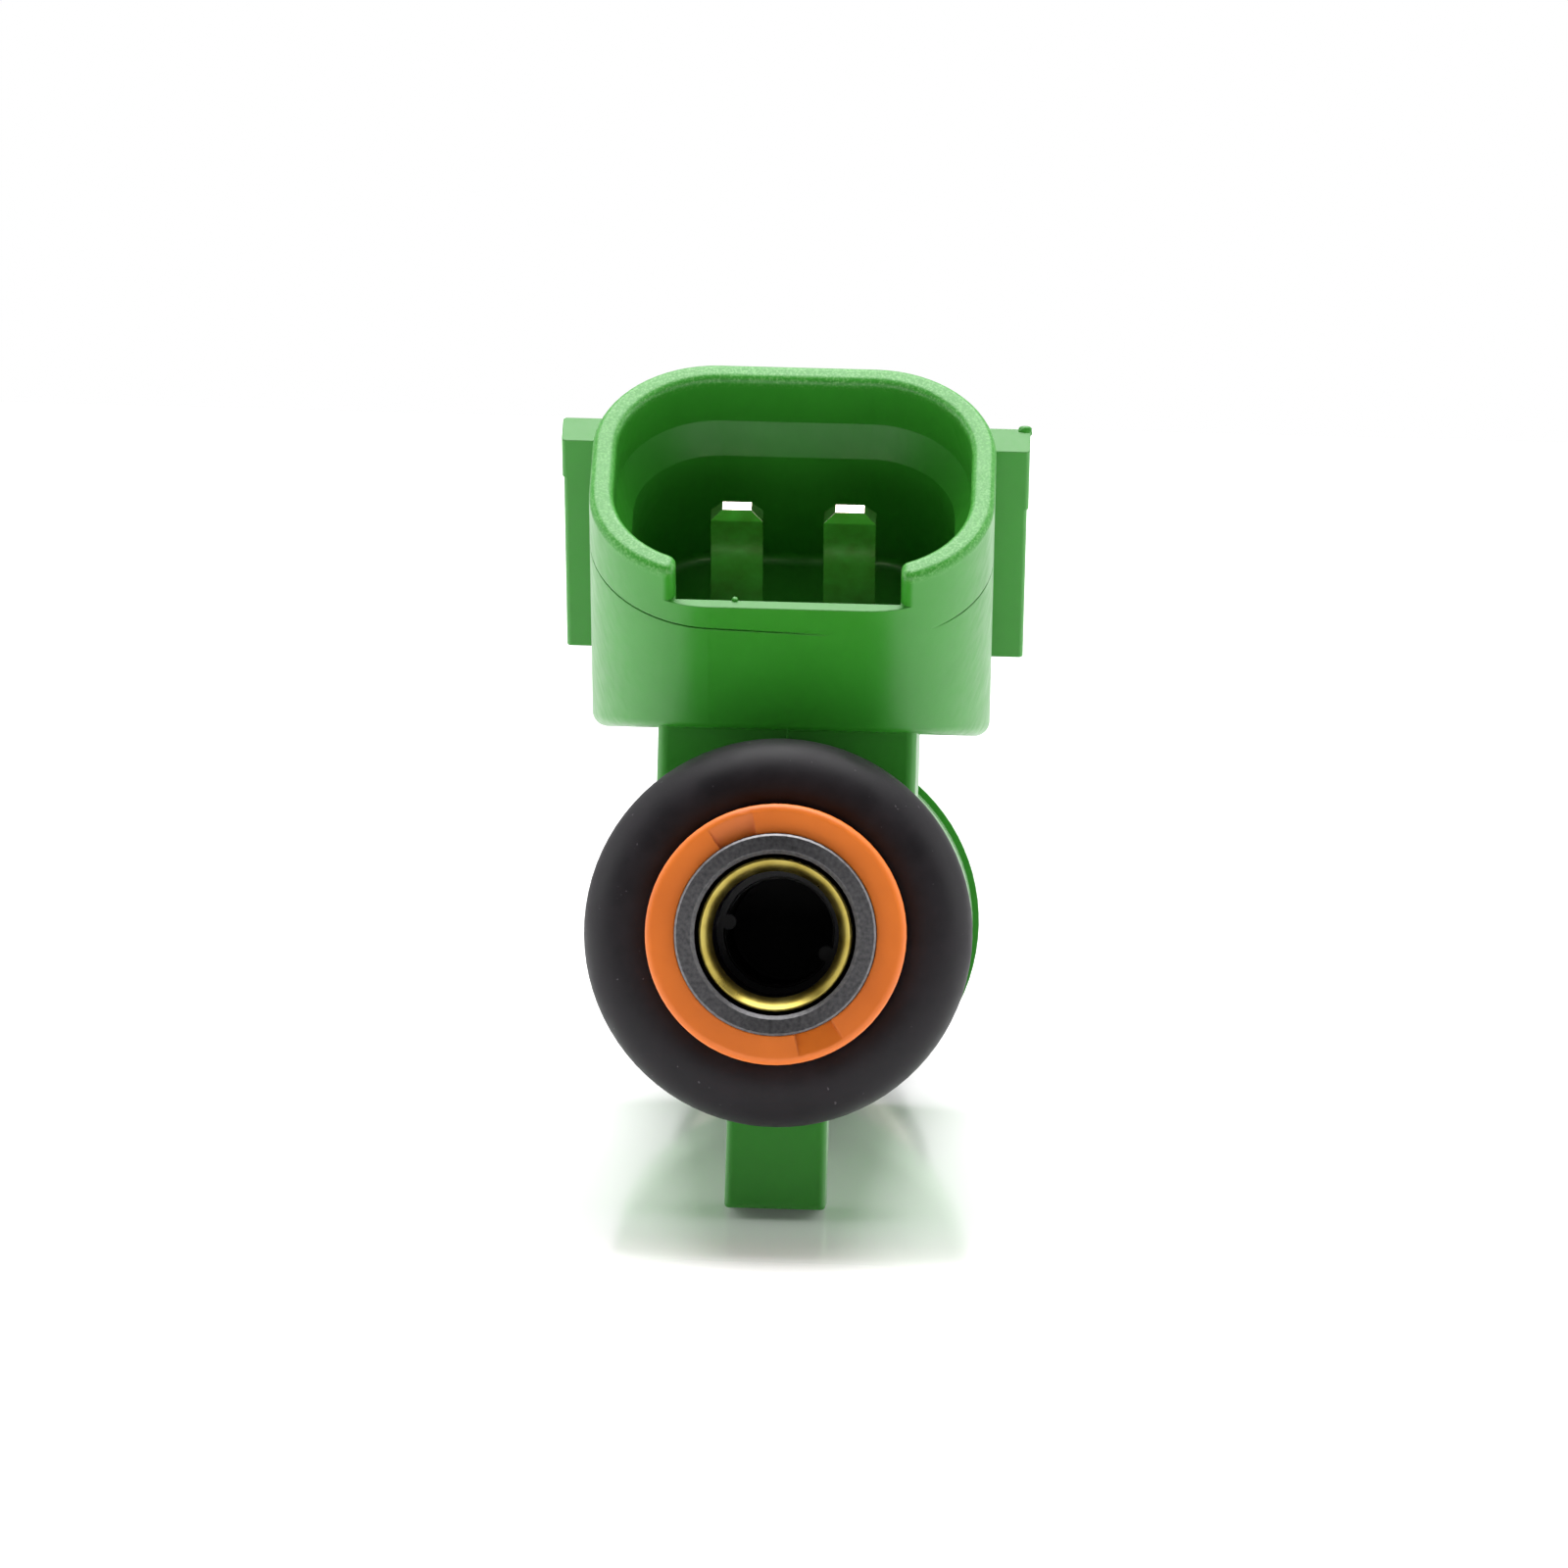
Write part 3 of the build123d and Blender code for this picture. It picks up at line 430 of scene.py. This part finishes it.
FLOOR_SIZE = 0.7
FLOOR_COLOUR = (0.92, 0.92, 0.92, 1)
FLOOR_MATT = 0.6  # its roughness in front of the injector
FLOOR_GLOSS = 0.12  # and under it
SEAL_ON_FLOOR = seal_front - tab_touch.y  # the upper O-ring's front, from the floor's middle
MATT_END = SEAL_ON_FLOOR - 6 * MM
GLOSS_START = SEAL_ON_FLOOR + 1 * MM
GLOW_START = 0.12  # from the floor's middle
GLOW_FULL = 0.3
FAINT_GLOW = 0.05
FULL_GLOW = 0.6


def make_floor():
    """A white acrylic sheet, shiny under the injector, that glows like a lit backdrop far out."""
    mesh = bpy.data.meshes.new("floor")
    half = FLOOR_SIZE / 2
    corners = [(-half, -half, 0), (half, -half, 0), (half, half, 0), (-half, half, 0)]
    mesh.from_pydata(corners, [], [(0, 1, 2, 3)])
    floor = bpy.data.objects.new("floor", mesh)
    bpy.context.scene.collection.objects.link(floor)
    floor.location = tab_touch
    floor.rotation_euler = (slope, 0, 0)
    made, tree, shader, place = new_material("floor_acrylic")
    distance = length(tree, place)
    look = {
        "Base Color": FLOOR_COLOUR,
        "Roughness": spread(tree, along_y(tree, place), MATT_END, GLOSS_START, FLOOR_MATT, FLOOR_GLOSS),
        "Specular IOR Level": 0.22,
        "Emission Color": WHITE,
        "Emission Strength": spread(tree, distance, GLOW_START, GLOW_FULL, FAINT_GLOW, FULL_GLOW),
    }
    feed(tree, shader, look)
    floor.data.materials.append(made)


make_floor()

# ------------------------------------------------------------------ light
scene = bpy.context.scene
scene.view_settings.view_transform = "Standard"
TENT_DIM = 0.08  # the tent's light from the camera's side
TENT_BRIGHT = 0.85  # and from the far side
DIM_END = -0.9  # the y of the direction where it starts to brighten
BRIGHT_START = 0.2
LIT_SPOT = Vector((0, 0.02, 0))  # in the injector; every soft box faces it
SIDE_DISTANCE = 0.45
SIDE_HEIGHT = 0.15


def make_world():
    """A white tent, darker towards the camera's side; the camera itself sees it plain white."""
    world = bpy.data.worlds.new("tent")
    world.use_nodes = True
    scene.world = world
    tree = world.node_tree
    out = next(n for n in tree.nodes if n.type == "OUTPUT_WORLD")
    seen = next(n for n in tree.nodes if n.type == "BACKGROUND")
    feed(tree, seen, {"Color": WHITE, "Strength": 1})
    direction = add_node(tree, "ShaderNodeTexCoord", {}).outputs["Generated"]
    glow = spread(tree, along_y(tree, direction), DIM_END, BRIGHT_START, TENT_DIM, TENT_BRIGHT)
    lit = add_node(tree, "ShaderNodeBackground", {"Color": WHITE, "Strength": glow})
    is_camera = add_node(tree, "ShaderNodeLightPath", {}).outputs["Is Camera Ray"]
    mixed = add_node(tree, "ShaderNodeMixShader", {0: is_camera, 1: lit.outputs[0], 2: seen.outputs[0]})
    feed(tree, out, {"Surface": mixed.outputs[0]})


def soft_box(name, place, size, power):
    """A square soft box that faces the injector and is hidden from the camera."""
    data = bpy.data.lights.new(name, "AREA")
    data.shape = "SQUARE"
    data.size = size
    data.energy = power
    made = bpy.data.objects.new(name, data)
    scene.collection.objects.link(made)
    made.location = place
    made.rotation_euler = (LIT_SPOT - Vector(place)).to_track_quat("-Z", "Y").to_euler()
    made.visible_camera = False


make_world()
soft_box("top", (0, 0.05, 0.5), size=0.5, power=4.8)
for name, side in (("left", -1), ("right", 1)):
    soft_box(name, (side * SIDE_DISTANCE, 0, SIDE_HEIGHT), size=0.4, power=0.75)

# ------------------------------------------------------------------ camera
CAMERA_DISTANCE = 0.350
CAMERA_AZIMUTH = math.radians(1.35)
CAMERA_ROLL = math.radians(1.55)
CAMERA_LENS = 214.1  # in millimetres, as the sensor's width is
SENSOR_WIDTH = 36
NEAREST_SEEN = 0.01
AIM = Vector((0.07 * MM, 0, 5.59 * MM))
camera = bpy.data.objects.new("camera", bpy.data.cameras.new("camera"))
scene.collection.objects.link(camera)
camera.data.sensor_width = SENSOR_WIDTH
camera.data.lens = CAMERA_LENS
camera.data.clip_start = NEAREST_SEEN
forward = Vector((-math.sin(CAMERA_AZIMUTH), math.cos(CAMERA_AZIMUTH), 0))
right = Vector((math.cos(CAMERA_AZIMUTH), math.sin(CAMERA_AZIMUTH), 0))
up = Vector((0, 0, 1))
rolled_right = right * math.cos(CAMERA_ROLL) + up * math.sin(CAMERA_ROLL)
rolled_up = up * math.cos(CAMERA_ROLL) - right * math.sin(CAMERA_ROLL)
turn = Matrix((rolled_right, rolled_up, -forward)).transposed()
camera.matrix_world = Matrix.Translation(AIM - forward * CAMERA_DISTANCE) @ turn.to_4x4()
scene.camera = camera
